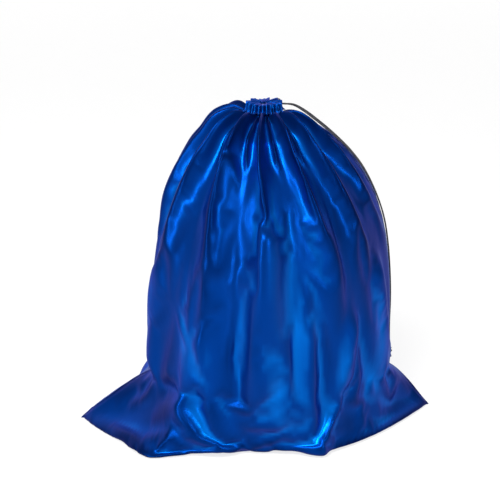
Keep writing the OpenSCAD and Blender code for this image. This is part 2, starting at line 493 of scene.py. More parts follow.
GATHERS = (
    Gather(8, 4, 0.50, 0.7),
    Gather(38, 36, 0.60, 0.6),
    Gather(68, 72, 0.42, 1.1),
    Gather(100, 104, 0.62, 0.9),
    Gather(131, 128, 0.48, 1.0),
    Gather(160, 156, 0.62, 0.9),
    Gather(186, 182, 0.55, 0.9),
    Gather(210, 206, 0.40, 1.1),
    Gather(234, 238, 0.38, 1.25),
    Gather(261, 263, 0.26, 1.35),
    Gather(287, 301, 0.50, 1.2),
    Gather(309, 324, 0.42, 1.1),
    Gather(334, 345, 0.55, 1.0),
)


@dataclass(frozen=True)
class Fold:
    """A soft fold low on the body.

    line holds its shares of the length and azimuths; width is in degrees.
    """

    line: tuple[tuple[float, float], ...]
    height: float
    width: float

    def lift(self, share: float, azimuth: float) -> float:
        """How far the fold lifts the cloth.

        Args:
            share: share of the sack's length, from the bottom seam.
            azimuth: degrees from +X towards the back.

        Returns:
            The lift in metres, before it is scaled.
        """
        shares = [s for s, _ in self.line]
        inside = smooth((share - shares[0] + 0.05) / 0.07)
        inside *= smooth((shares[-1] + 0.05 - share) / 0.07)
        if inside <= 0:
            return 0.0
        here = min(max(share, shares[0]), shares[-1])
        i = max(1, min(len(shares) - 1, bisect.bisect_left(shares, here)))
        part = (here - shares[i - 1]) / (shares[i] - shares[i - 1])
        centre = mix(self.line[i - 1][1], self.line[i][1], part)
        away = angle_between(azimuth, centre)
        return self.height * inside * math.exp(-((away / self.width) ** 2))


FOLDS = (
    Fold(((0.23, 250.0), (0.34, 226.0), (0.52, 222.0)), 0.011, 6.0),
    Fold(((0.25, 253.0), (0.37, 238.0), (0.50, 233.0)), 0.008, 4.5),
    Fold(((0.28, 269.0), (0.33, 266.0), (0.45, 263.0), (0.60, 264.0), (0.72, 266.0)), 0.014, 10.0),
    Fold(((0.22, 285.0), (0.40, 285.0), (0.52, 284.0)), 0.009, 5.5),
    Fold(((0.21, 286.0), (0.31, 303.0), (0.46, 311.0)), 0.010, 5.5),
    Fold(((0.24, 330.0), (0.36, 335.0), (0.52, 334.0)), 0.009, 7.0),
    Fold(((0.26, 20.0), (0.40, 26.0), (0.55, 24.0)), 0.009, 7.0),
    Fold(((0.22, 60.0), (0.36, 52.0), (0.50, 56.0)), 0.010, 6.5),
    Fold(((0.25, 88.0), (0.40, 92.0), (0.58, 90.0)), 0.012, 9.0),
    Fold(((0.22, 112.0), (0.36, 118.0), (0.48, 116.0)), 0.009, 6.0),
    Fold(((0.24, 146.0), (0.38, 142.0), (0.54, 144.0)), 0.010, 7.0),
    Fold(((0.30, 196.0), (0.42, 194.0), (0.56, 198.0)), 0.009, 6.5),
)


class SackShape:
    """Where each point of the flat sack lies round the filling."""

    DEEPEST_GATHER = 22 * MM
    GATHER_RISE = 0.16
    FLATTER = 0.52
    NECK = (0.945, 0.045)
    PUFF_MM = 11
    PUFF_SPAN = (0.86, 0.06, 0.955, 0.035)
    PLEATS = (11.5 * MM, 3.4 * MM)
    FOLD_SCALE = 1.8
    BODY_SPAN = (0.16, 0.06, 0.70, 0.1)
    SHOULDER = 11 * MM
    SHOULDER_AZ = 12.0
    SHOULDER_SPAN = (0.5, 0.1, 0.82, 0.06)

    def __init__(self, size: SackSize) -> None:
        """Works out the side profile, from the corners' height up to the mouth.

        Args:
            size: the flat sack and the shape that it fills.
        """
        self.size = size
        self.heights = [size.ear_h * k / 16 for k in range(16)]
        self.heights += [mix(size.ear_h, size.dome_z, k / 16) for k in range(16)]
        self.dome = []
        end = math.acos((size.neck_r / size.half) ** (size.q / 2))
        for k in range(49):
            a = end * k / 48
            width = size.half * math.cos(a) ** (2 / size.q)
            rise = (size.dome_h - 2 * MM) * math.sin(a) ** (2 / size.p)
            self.dome.append((width, size.dome_z + rise))
        self.dome.append((size.neck_r, size.neck_z))
        self.arc = self._arc_table(400)

    def _arc_table(self, steps: int) -> list[float]:
        """Shares of the half girth that are passed at equal angles.

        Args:
            steps: number of angles.

        Returns:
            The shares, from 0 to 1.
        """
        table = [0.0]
        here = (1.0, 0.0)
        for k in range(1, steps + 1):
            t = math.pi * k / steps
            there = (math.cos(t), self.size.depth_ratio * math.sin(t))
            table.append(table[-1] + math.dist(here, there))
            here = there
        return [v / table[-1] for v in table]

    def around(self, column: int) -> tuple[float, float]:
        """How far across its panel a column lies, from 0 at the right seam, and its azimuth."""
        if column <= self.size.columns:
            across = column / self.size.columns
            return across, (360 - 180 * across) % 360
        across = 2 - column / self.size.columns
        return across, 180 * across

    def angle_at(self, share: float) -> float:
        """The angle at which a share of the half girth has been passed."""
        table = self.arc
        i = max(1, min(len(table) - 1, bisect.bisect_left(table, share)))
        part = (share - table[i - 1]) / max(1e-9, table[i] - table[i - 1])
        return math.pi * (i - 1 + part) / (len(table) - 1)

    def depth_share(self, z: float) -> float:
        """Depth of the cross-section as a share of its width: round at the mouth."""
        ratio = self.size.depth_ratio
        return ratio + (1 - ratio) * min(1.0, z / self.size.neck_z) ** 4

    def meridian(self, angle: float) -> list[Vector]:
        """The smooth line from the bottom seam up to the mouth, on the front.

        Args:
            angle: 0 at the right seam, pi at the left one.

        Returns:
            The points of the line, from the bottom up.
        """
        size = self.size
        across, sine = math.cos(angle), abs(math.sin(angle))
        tip = size.right_tip if across > 0 else size.left_tip
        points = []
        reach, power = size.right_base if across > 0 else size.left_base
        full = 1 - (1 - min(1.0, (1 - abs(across)) / reach)) ** power
        base_depth = size.half * size.depth_ratio * full
        for k in range(12):
            points.append(Vector((tip * across, -base_depth * k / 12, 0.0)))
        rows = []
        for z in self.heights:
            share = max(0.0, 1 - z / size.ear_h)
            rows.append((size.half + (tip - size.half) * share, size.half, z, share))
        rows += [(w, w, z, 0.0) for w, z in self.dome]
        for width, depth, z, share in rows:
            y = -depth * self.depth_share(z) * mix(sine, full, share)
            shift = size.lean * (1 - share) * (1 - smooth((z - 0.36) / 0.2))
            points.append(Vector((width * across + shift, y, z)))
        return points

    def at(self, share_across: float, share_up: float) -> tuple[Vector, Vector]:
        """A point of the smooth front and the direction out of it.

        Args:
            share_across: 0 at the right seam, 1 at the left one.
            share_up: 0 at the bottom seam, 1 at the mouth.

        Returns:
            The point and the outward direction in the meridian's plane.
        """
        low, high = math.acos(1 - 2 * share_across), self.angle_at(share_across)
        angle = mix(low, high, smooth((share_up - 0.05) / 0.3))
        line = self.meridian(angle)
        spans = [(b - a).length for a, b in zip(line, line[1:])]
        left = share_up * sum(spans)
        for i, span in enumerate(spans):
            if left <= span or i == len(spans) - 1:
                point = line[i].lerp(line[i + 1], min(1.0, left / max(span, 1e-9)))
                along = (line[min(i + 2, len(spans))] - line[max(i - 1, 0)]).normalized()
                break
            left -= span
        out = Vector((point.x, point.y, 0.0))
        out = out.normalized() if out.length > 1e-6 else Vector((0, -1, 0))
        normal = out - along * out.dot(along)
        return point, normal.normalized() if normal.length > 1e-6 else out

    def phase(self, azimuth: float, share_up: float) -> tuple[float, Gather, Gather]:
        """Where a place lies between its two neighbouring gathers.

        Args:
            azimuth: degrees from +X towards the back.
            share_up: 0 at the bottom seam, 1 at the mouth.

        Returns:
            The share of the way from one gather to the next, and those two.
        """
        part = smooth((share_up - 0.55) / 0.4)
        centres = [mix(g.on_body, g.at_mouth, part) for g in GATHERS]
        i = max((j for j, c in enumerate(centres) if c <= azimuth), default=-1)
        if i == -1:
            start, end = centres[-1] - 360, centres[0]
            pair = (GATHERS[-1], GATHERS[0])
        else:
            start = centres[i]
            end = centres[i + 1] if i + 1 < len(centres) else centres[0] + 360
            pair = (GATHERS[i], GATHERS[(i + 1) % len(GATHERS)])
        return (azimuth - start) / (end - start), *pair

    def lift(self, azimuth: float, share_up: float, radius: float) -> float:
        """How far the folds lift the cloth off the smooth shape.

        Args:
            azimuth: degrees from +X towards the back.
            share_up: 0 at the bottom seam, 1 at the mouth.
            radius: distance from the sack's axis.

        Returns:
            The lift in metres.
        """
        size = self.size
        spot, one, other = self.phase(azimuth, share_up)
        girth = max(1.0, 2 * size.flat_width / (2 * math.pi * max(radius, 0.02)))
        spare = math.sqrt(2 * (girth * girth - 1))
        low = mix(one.low, other.low, spot)
        height = mix(one.height, other.height, spot)
        neck = smooth((share_up - self.NECK[0]) / self.NECK[1])
        wave = math.cos(2 * math.pi * spot)
        pleat = math.cos(4 * math.pi * spot)
        big = min(radius / len(GATHERS) * spare, self.DEEPEST_GATHER) * height
        big *= smooth((share_up - low) / self.GATHER_RISE)
        big *= 1 - self.FLATTER * smooth((share_up - 0.82) / 0.09)
        total = big * (wave * 0.85 - 0.10) * (1 - neck)
        beside = abs(angle_between(azimuth, self.SHOULDER_AZ))
        calm = 1 - 0.9 * (1 - smooth((beside - 22) / 26))
        puff = between(share_up, *self.PUFF_SPAN)
        total += (self.PUFF_MM * calm - (1 - calm)) * MM * puff
        if share_up > 0.5:
            small = min(mix(*self.PLEATS, smooth((share_up - 0.955) / 0.04)), 0.17 * radius)
            total += small * pleat * smooth((share_up - 0.78) / 0.12)
            total += 0.0015 * wave * neck
        folds = self.FOLD_SCALE * sum(f.lift(share_up, azimuth) for f in FOLDS)
        total += between(share_up, *self.BODY_SPAN) * (folds - 3 * MM)
        shoulder = between(share_up, *self.SHOULDER_SPAN)
        return total + self.SHOULDER * shoulder * (1 - smooth((beside - 14) / 18))

    def near_exit(self, azimuth: float) -> float:
        """1 at the cord's exit, falling to 0 beside it."""
        away = abs(angle_between(azimuth, EXIT_AZ))
        return 1 - smooth((away - 12) / 10)

    def filled(self, column: int, row: int) -> tuple[Vector, float]:
        """Where a point of the grid starts.

        Args:
            column: 0 at the right seam, then along the front and back again behind.
            row: 0 at the bottom seam.

        Returns:
            The place and the azimuth in degrees.
        """
        size = self.size
        across, azimuth = self.around(column)
        up = row / size.rows
        point, normal = self.at(across, up)
        radius = math.hypot(point.x, point.y)
        lift = self.lift(azimuth, up, radius)
        if up > 0.80:
            quiet = self.near_exit(azimuth) * between(up, 0.84, 0.06, 0.975, 0.02)
            lift = mix(lift, min(lift, -0.001), quiet)
        if column > size.columns:
            point.y, normal.y = -point.y, -normal.y
        edge = smooth(row / 4)
        point = point + normal * lift * edge
        jitter = noise.noise(point * 9) * 2 * MM * between(up, 0.0, 0.1, 0.9, 0.05)
        point += normal * jitter * edge
        return point, azimuth


NYLON_CLOTH = {
    "quality": 6,
    "mass": 0.12,
    "tension_stiffness": 50,
    "compression_stiffness": 50,
    "shear_stiffness": 10,
    "bending_stiffness": 0.06,
    "tension_damping": 15,
    "compression_damping": 15,
    "shear_damping": 8,
    "bending_damping": 0.5,
    "air_damping": 2.0,
    "vertex_group_mass": "pins",
    "pin_stiffness": 1.0,
    "use_pressure": True,
    "uniform_pressure_force": 0.03,
}
NYLON_TOUCH = {
    "distance_min": 2 * MM,
    "use_self_collision": True,
    "self_distance_min": 2 * MM,
    "collision_quality": 2,
    "self_friction": 3,
}


@dataclass
class SackCloth:
    """The sack's body: sewn flat, simulated round its filling, then parted into panels."""

    size: SackSize = field(default_factory=SackSize)
    frames: int = 30
    thickness: float = 0.0006

    def __post_init__(self) -> None:
        """Prepares the shape and an empty grid of settled points."""
        self.shape = SackShape(self.size)
        self.points: dict[tuple[int, int], Vector] = {}

    def _sewn(self) -> bpy.types.Object:
        """The sack as one grid closed at its seams, with its flat shape as a key."""
        size = self.size
        around, rows = 2 * size.columns, size.rows
        bm = bmesh.new()
        bmesh.ops.create_grid(bm, x_segments=around, y_segments=rows, size=0.5)
        column = bm.verts.layers.int.new("column")
        row = bm.verts.layers.int.new("row")
        for vert in bm.verts:
            vert[column] = round((vert.co.x + 0.5) * around)
            vert[row] = round((vert.co.y + 0.5) * rows)
            vert.co = self.shape.filled(vert[column], vert[row])[0]
        edge = [v for v in bm.verts if v[column] in (0, around) or v[row] == 0]
        bmesh.ops.remove_doubles(bm, verts=edge, dist=0.01 * MM)
        bmesh.ops.recalc_face_normals(bm, faces=bm.faces)
        sewn = mesh_object("sewn", bm)
        sewn.shape_key_add(name="filled")
        flat = sewn.shape_key_add(name="flat")
        pins = sewn.vertex_groups.new(name="pins")
        for i, (c, r) in enumerate(self._grid(sewn.data)):
            across = self.shape.around(c)[0]
            seam = r == 0 or c in (0, size.columns, around)
            y = 0.0 if seam else (-4 * MM if c < size.columns else 4 * MM)
            x = size.flat_width * (0.5 - across)
            flat.data[i].co = (x, y, size.flat_length * r / size.rows)
            if self._pinned(c, r):
                pins.add([i], 1.0, "REPLACE")
        return sewn

    def _grid(self, mesh: bpy.types.Mesh) -> list[tuple[int, int]]:
        """The column and the row of each point of a mesh."""
        columns, rows = (mesh.attributes[name].data for name in ("column", "row"))
        return [(c.value, r.value) for c, r in zip(columns, rows)]

    def _pinned(self, column: int, row: int) -> bool:
        """Whether the cord or a bottom corner holds a point where it is.

        Args:
            column: the point's column.
            row: the point's row.

        Returns:
            True where it stays.
        """
        size = self.size
        up = row / size.rows
        azimuth = self.shape.around(column)[1]
        held = mix(0.955, 0.915, self.shape.near_exit(azimuth))
        return up >= held or (row == 0 and column in (0, size.columns, 2 * size.columns))

    def _filling(self) -> bpy.types.Object:
        """The loose filling as one lumpy body, a little smaller than the sack."""
        size, shape = self.size, self.shape
        half = size.half - 12 * MM
        foot = ((0.78, 0.002), (0.87, 0.004), (0.93, 0.012), (0.95, 0.03))
        profile = [(half * share, z) for share, z in foot]
        for k in range(1, 12):
            width = half * mix(0.95, 1.0, (k / 11) ** 2)
            profile.append((width, mix(0.03, size.dome_z, k / 11)))
        for k in range(1, 20):
            a = math.radians(88) * k / 19
            rise = (size.dome_h - 32 * MM) * math.sin(a) ** (2 / size.p)
            profile.append((half * math.cos(a) ** (2 / size.q), size.dome_z + rise))
        around = 96
        bm = bmesh.new()
        bmesh.ops.create_grid(bm, x_segments=around, y_segments=len(profile) - 1, size=0.5)
        for vert in bm.verts:
            angle = (vert.co.x + 0.5) * 2 * math.pi
            width, z = profile[round((vert.co.y + 0.5) * (len(profile) - 1))]
            spot = Vector((math.cos(angle) * 1.7 + 4, math.sin(angle) * 1.7, z * 4))
            beside = angle_between(math.degrees(angle), 8)
            lobe = 0.05 * math.exp(-((beside / 24) ** 2)) * smooth((z - 0.12) / 0.1)
            lump = width * (1 + 0.03 * noise.noise(spot) + lobe)
            shift = size.lean * between(z, 0.02, 0.08, 0.36, 0.2)
            depth = lump * shape.depth_share(z)
            vert.co = (lump * math.cos(angle) + shift, depth * math.sin(angle), z)
        bmesh.ops.remove_doubles(bm, verts=bm.verts, dist=0.01 * MM)
        bmesh.ops.holes_fill(bm, edges=bm.edges, sides=0)
        bmesh.ops.recalc_face_normals(bm, faces=bm.faces)
        filling = mesh_object("filling", bm)
        self._collider(filling, 5.0)
        return filling

    def _ground(self) -> bpy.types.Object:
        """The floor that the sack is dropped on."""
        bm = bmesh.new()
        bmesh.ops.create_grid(bm, x_segments=4, y_segments=4, size=1.0)
        ground = mesh_object("ground", bm)
        ground.location.z = -3 * MM
        self._collider(ground, 20.0)
        return ground

    def _collider(self, body: bpy.types.Object, friction: float) -> None:
        """Makes the cloth collide with a body.

        Args:
            body: the filling or the floor.
            friction: how firmly it holds the cloth.
        """
        body.modifiers.new("collision", "COLLISION")
        body.collision.thickness_outer = 3 * MM
        body.collision.cloth_friction = friction
        body.collision.damping = 0.6

    def _settings(self, sewn: bpy.types.Object, frames: int) -> None:
        """Gives the sewn sack the behaviour of thin coated nylon.

        Args:
            sewn: the sack.
            frames: how many frames it settles for.
        """
        cloth = sewn.modifiers.new("cloth", "CLOTH")
        cloth.settings.rest_shape_key = sewn.data.shape_keys.key_blocks["flat"]
        cloth.settings.effector_weights.gravity = 0.6
        for settings, values in (
            (cloth.settings, NYLON_CLOTH),
            (cloth.collision_settings, NYLON_TOUCH),
        ):
            for key, value in values.items():
                setattr(settings, key, value)
        cloth.point_cache.frame_end = frames + 1

    def simulate(self) -> None:
        """Lets the sewn sack settle and keeps where each point of its grid ends."""
        sewn, filling, ground = self._sewn(), self._filling(), self._ground()
        frames = self.frames
        self._settings(sewn, frames)
        scene = bpy.context.scene
        scene.frame_start, scene.frame_end = 1, frames + 1
        for frame in range(1, frames + 1):
            scene.frame_set(frame)
        evaluated = sewn.evaluated_get(bpy.context.evaluated_depsgraph_get())
        mesh = bpy.data.meshes.new_from_object(evaluated)
        for vert, spot in zip(mesh.vertices, self._grid(mesh)):
            place = vert.co.copy()
            place.z = max(place.z, 0.5 * MM)
            self.points[spot] = place
        around = 2 * self.size.columns
        for r in range(self.size.rows + 1):
            one = self.points.get((0, r)) or self.points.get((around, r))
            self.points[(0, r)] = self.points[(around, r)] = one
        for c in range(self.size.columns + 1):
            one = self.points.get((c, 0)) or self.points.get((around - c, 0))
            self.points[(c, 0)] = self.points[(around - c, 0)] = one
        scene.frame_set(1)
        for body in (sewn, filling, ground):
            bpy.data.objects.remove(body)
        log.info("cloth: %d frames, %d points", frames, len(self.points))

    def make_room(self, line: Sequence[Vector], reach: float) -> None:
        """Lays the cloth against a cord that runs over it: pressed in, or drawn out to it.

        Args:
            line: points of the cord's middle, close together.
            reach: how far the cloth has to stay from the cord's middle.
        """
        tree = KDTree(len(line))
        for i, point in enumerate(line):
            tree.insert(point, i)
        tree.balance()
        done: set[int] = set()
        for point in self.points.values():
            if id(point) in done:
                continue
            done.add(id(point))
            near, i, _ = tree.find(point)
            inward = Vector((-near.x, -near.y, -0.45 * max(0.0, near.z - 0.3))).normalized()
            offset = point - near
            depth = offset.dot(inward)
            beside = (offset - inward * depth).length
            if depth > reach:
                slack = min(depth - reach, 16 * MM) * smooth((60 * MM - depth) / (30 * MM))
                hold = between(point.z, 0.15, 0.05, 0.55, 0.02)
                point -= inward * slack * hold * (1 - smooth(beside / (50 * MM)))
            elif beside < 16 * MM:
                point += inward * (reach - depth) * (1 - smooth((beside - 3 * MM) / (13 * MM)))

    def _relief(self) -> dict[tuple[int, int], float]:
        """How much each point stands out from its neighbours, plus a band along each fold's crest,
        about -1 to 1: it sets the painted highlight and painted shade of the nylon.
        """
        size = self.size
        around = 2 * size.columns
        relief = {}
        for (c, r), point in self.points.items():
            total, reach = 0.0, 2
            left = self.points[((c - reach) % around, r)]
            right = self.points[((c + reach) % around, r)]
            low = self.points[(c, max(r - reach, 0))]
            high = self.points[(c, min(r + reach, size.rows))]
            out = (right - left).cross(high - low)
            if out.length < 1e-12:
                relief[(c, r)] = 0.0
                continue
            out.normalize()
            for one, other in ((left, right), (low, high)):
                span = (one - other).length
                total += (point - (one + other) / 2).dot(out) / max(span, 2 * MM)
            azimuth = self.shape.around(c)[1]
            # painted highlight: a bright band along each fold's crest
            crest = sum(f.lift(r / size.rows, azimuth) for f in FOLDS) / (12 * MM)
            relief[(c, r)] = max(-1.0, min(1.0, total * 2.2)) + 0.8 * min(1.0, crest) - 0.15
        return relief

    def panel(self, side: Side, finish: bpy.types.Material) -> bpy.types.Object:
        """One panel of the settled sack.

        Args:
            side: which half.
            finish: its material.

        Returns:
            The panel, with a vertex attribute that paints highlight on its crests and shade in its
            valleys.
        """
        size = self.size
        first = 0 if side is Side.FRONT else size.columns
        relief = self._relief()
        bm = bmesh.new()
        bmesh.ops.create_grid(bm, x_segments=size.columns, y_segments=size.rows, size=0.5)
        painted_fold_light = bm.verts.layers.float.new("painted_fold_light")
        for vert in bm.verts:
            c = round((vert.co.x + 0.5) * size.columns)
            r = round((vert.co.y + 0.5) * size.rows)
            vert[painted_fold_light] = relief[(first + c, r)]
            vert.co = self.points[(first + c, r)]
        bm.normal_update()
        middle = Vector((0, 0, size.dome_z))
        if sum(f.normal.dot(f.calc_center_median() - middle) for f in bm.faces) < 0:
            bmesh.ops.reverse_faces(bm, faces=bm.faces)
        name = f"{side.value}_panel_cloth"
        panel = piece(name, bm, finish)
        finer = panel.modifiers.new("finer", "SUBSURF")
        finer.levels = finer.render_levels = 1
        ply = panel.modifiers.new("ply", "SOLIDIFY")
        ply.thickness = self.thickness
        ply.offset = -1
        stand_for(panel, f"{side.value}_panel", Slot.FABRIC)
        log.info("%s: %d faces", name, len(panel.data.polygons))
        return panel


# ---------------------------------------------------------------- small meshes


def piece(
    name: str, bm: bmesh.types.BMesh, finish: bpy.types.Material, smooth_faces: bool = True
) -> bpy.types.Object:
    """Turns a bmesh into an object of the scene.

    Args:
        name: the object's name.
        bm: its mesh, which is freed.
        finish: its material.
        smooth_faces: whether it is shaded smooth.

    Returns:
        The object.
    """
    for face in bm.faces:
        face.smooth = smooth_faces
    made = mesh_object(name, bm)
    made.data.materials.append(finish)
    return made


def surface(
    bm: bmesh.types.BMesh, columns: int, rows: int, place: Callable[[int, int], Vector]
) -> None:
    """Adds a grid whose points are placed by a function of column and row.

    Args:
        bm: the mesh that it is added to.
        columns: number of cells across.
        rows: number of cells up.
        place: gives a point from a column and a row.
    """
    for vert in bmesh.ops.create_grid(bm, x_segments=columns, y_segments=rows, size=0.5)["verts"]:
        vert.co = place(round((vert.co.x + 0.5) * columns), round((vert.co.y + 0.5) * rows))


def stitch(bm: bmesh.types.BMesh, start: Vector, end: Vector, out: Vector, width: float) -> None:
    """Adds one stitch: a thin bar that bows off the cloth.

    Args:
        bm: the mesh that it is added to.
        start: where it comes out of the cloth.
        end: where it goes back in.
        out: the direction off the cloth.
        width: thickness of the thread.
    """
    along = (end - start).normalized()
    out = (out - along * out.dot(along)).normalized()
    beside = along.cross(out)
    verts = bmesh.ops.create_cube(bm, size=1.0)["verts"]
    for vert in verts:
        x, y, z = vert.co
        reach = 0.5 if z < 0 else 0.34
        centre = start.lerp(end, 0.5 + (1 if x > 0 else -1) * reach)
        vert.co = centre + beside * y * width + out * ((z + 0.35) * width)


def stitch_row(
    bm: bmesh.types.BMesh,
    line: Sequence[Vector],
    outs: Sequence[Vector],
    length: float,
    width: float,
) -> int:
    """Adds a row of stitches along a line.

    Args:
        bm: the mesh that they are added to.
        line: points along the row.
        outs: the direction off the cloth at each point.
        length: length of a stitch; the gap is a quarter of it.
        width: thickness of the thread.

    Returns:
        How many stitches were made.
    """
    marks = [0.0]
    for a, b in zip(line, line[1:]):
        marks.append(marks[-1] + (b - a).length)

    def at(distance: float) -> tuple[Vector, Vector]:
        """The point and the direction off the cloth at a distance along the row."""
        i = max(1, min(len(marks) - 1, bisect.bisect_left(marks, distance)))
        part = (distance - marks[i - 1]) / max(1e-9, marks[i] - marks[i - 1])
        return line[i - 1].lerp(line[i], part), outs[i - 1].lerp(outs[i], part)

    count = 0
    where = 0.3 * length
    while where + length < marks[-1]:
        (start, out), (end, _) = at(where), at(where + length)
        if (end - start).length > 0.3 * length:
            stitch(bm, start, end, out, width)
            count += 1
        where += 1.25 * length
    return count


# ---------------------------------------------------------------- casing


@dataclass
class Casing:
    """The gathered hem at the mouth: an outer and an inner ply with a rolled top edge."""

    shape: SackShape
    low: float = 0.5915
    high: float = 0.6072
    mean_r: float = 0.0283
    pleat: float = 0.0034
    inner_r: float = 0.0138
    mouth_r: float = 0.0085
    outer_least: float = 0.0248
    inner_most: float = 0.0189
    exit_az: float = EXIT_AZ
    slot_half: float = 6.5 * MM
    cord_z: float = CORD_Z
    around: int = 312
    ply: float = 0.0006

    def wave(self, azimuth: float) -> tuple[float, float]:
        """The pleats' wave and the gathers' wave at an azimuth."""
        spot, _, _ = self.shape.phase(azimuth % 360, 1.0)
        return math.cos(4 * math.pi * spot), math.cos(2 * math.pi * spot)

    def outer(self, azimuth: float, share: float) -> Vector:
        """A point of the outer ply.

        Args:
            azimuth: degrees from +X towards the back.
            share: 0 at the foot, 1 at the top.

        Returns:
            The point.
        """
        pleat, gather = self.wave(azimuth)
        spot = cylindrical(1.0, azimuth, share * 0.4)
        bulge = math.sin(math.pi * min(1.0, share * 1.02)) * 0.9 * MM
        radius = self.mean_r + self.pleat * pleat + 0.8 * MM * gather + bulge
        radius += 0.9 * MM * noise.noise(spot * 6.0) * share
        flare = smooth((share - 0.45) / 0.55)
        radius += flare * (-1.0 * MM + 0.4 * MM * pleat + 1.2 * MM * gather)
        radius += max(0.0, 1 - share / 0.5) ** 2 * (5.0 * MM + 2.0 * MM * gather)
        z = mix(self.low, self.high, share)
        z += 3.6 * MM * flare * noise.noise(spot * 3.1 + Vector((3, 1, 7)))
        z += 0.7 * MM * flare * gather
        return cylindrical(max(radius, self.outer_least), azimuth, z)

    def inner(self, azimuth: float, share: float) -> Vector:
        """A point of the inner ply.

        Args:
            azimuth: degrees from +X towards the back.
            share: 0 at the foot, 1 at the top.

        Returns:
            The point.
        """
        pleat, _ = self.wave(azimuth)
        spot = cylindrical(1.0, azimuth, share * 0.4)
        radius = mix(self.inner_r, self.mouth_r, smooth(share)) + 2.0 * MM * pleat
        radius += 0.5 * MM * noise.noise(spot * 5.0)
        top = self.outer(azimuth, 1.0)
        z = mix(self.low + 1 * MM, top.z - 2.5 * MM * share, share)
        return cylindrical(min(radius, self.inner_most), azimuth, z)

    def cross_section(self, azimuth: float, row: int, rows: int) -> Vector:
        """A point of the folded hem: up the outer ply, over the top and down the inner one.

        Args:
            azimuth: degrees from +X towards the back.
            row: row of the hem's grid, from the foot of the outer ply.
            rows: number of rows.

        Returns:
            The point.
        """
        side_rows, top_rows = 12, 6
        if row <= side_rows:
            return self.outer(azimuth, row / side_rows)
        if row >= side_rows + top_rows:
            return self.inner(azimuth, (rows - row) / side_rows)
        part = (row - side_rows) / top_rows
        a, b = self.outer(azimuth, 1.0), self.inner(azimuth, 1.0)
        point = a.lerp(b, part)
        point.z += math.sin(math.pi * part) * 1.6 * MM
        point.z -= math.sin(math.pi * part) ** 4 * 1.4 * MM * (0.5 + 0.5 * self.wave(azimuth)[0])
        return point

    def build(self, side: Side, finish: bpy.types.Material) -> bpy.types.Object:
        """One half of the casing.

        Args:
            side: which half.
            finish: its material.

        Returns:
            The half, with the slot for the cord if it is the back one.
        """
        rows, half = 30, self.around // 2
        start = 180.0 if side is Side.FRONT else 0.0
        bm = bmesh.new()
        azimuth = [start + 180.0 * c / half for c in range(half + 1)]
        surface(bm, half, rows, lambda c, r: self.cross_section(azimuth[c], r, rows))
        if side is Side.BACK:
            bmesh.ops.delete(bm, geom=[f for f in bm.faces if self._in_slot(f)], context="FACES")
        bm.normal_update()
        centres = [(f.normal, f.calc_center_median()) for f in bm.faces]
        middle_r = self.outer_least - 0.3 * MM
        outer = [(normal, c.xy.normalized()) for normal, c in centres if c.xy.length > middle_r]
        if sum(normal.xy.dot(out) for normal, out in outer) < 0:
            bmesh.ops.reverse_faces(bm, faces=bm.faces)
        # painted light: pleat crests lighter, pleat valleys darker
        painted_fold_light = bm.verts.layers.float.new("painted_fold_light")
        for vert in bm.verts:
            angle = math.degrees(math.atan2(vert.co.y, vert.co.x)) % 360
            vert[painted_fold_light] = 0.45 * self.wave(angle)[0]
        name = f"{side.value}_casing_cloth"
        made = piece(name, bm, finish)
        ply = made.modifiers.new("ply", "SOLIDIFY")
        ply.thickness, ply.offset = self.ply, -1
        stand_for(made, f"{side.value}_casing", Slot.FABRIC)
        log.info("%s: %d faces", name, len(made.data.polygons))
        return made

    def _in_slot(self, face: bmesh.types.BMFace) -> bool:
        """Whether a face of the outer ply lies where the cord comes out."""
        centre = face.calc_center_median()
        angle = math.degrees(math.atan2(centre.y, centre.x)) - self.exit_az
        beside = centre.xy.length * math.sin(math.radians(angle))
        out = centre.xy.length > 0.0225 and abs(angle) < 90
        return out and abs(beside) < self.slot_half and abs(centre.z - self.cord_z) < 2.9 * MM

    def stitches(self, finish: bpy.types.Material) -> bpy.types.Object:
        """The row of stitches that closes the casing, along the foot of the pleats.

        Args:
            finish: the thread's material.

        Returns:
            The stitches as one piece.
        """
        bm = bmesh.new()
        line, outs = [], []
        for k in range(1080):
            azimuth = 360 * k / 1080
            here = self.outer(azimuth, 0.12)
            ahead = self.outer(azimuth + 0.4, 0.12)
            along = ahead - here
            out = Vector((along.y, -along.x, 0)).normalized()
            line.append(here + out * 0.1 * MM)
            outs.append(out)
        count = stitch_row(bm, line, outs, 2.6 * MM, 0.45 * MM)
        made = piece("casing_stitches", bm, finish, False)
        stand_for(made, "casing_thread", Slot.THREAD)
        log.info("casing_stitches: %d stitches", count)
        return made

    def bar_tacks(self, finish: bpy.types.Material) -> bpy.types.Object:
        """A dense bar of stitches at each end of the cord's slot.

        Args:
            finish: the thread's material.

        Returns:
            Both bars as one piece.
        """
        bm = bmesh.new()
        for turn in (-1, 1):
            azimuth = self.exit_az + turn * 15.2
            for k in range(13):
                share = (self.cord_z - 3.2 * MM + 0.53 * MM * k - self.low) / (self.high - self.low)
                start, end = self.outer(azimuth - 2.4, share), self.outer(azimuth + 2.4, share)
                out = Vector((start.x, start.y, 0)).normalized()
                stitch(bm, start + out * 0.3 * MM, end + out * 0.3 * MM, out, 0.5 * MM)
        made = piece("exit_tacks", bm, finish, False)
        stand_for(made, "exit_bar_tacks", Slot.THREAD)
        return made


# ---------------------------------------------------------------- seams


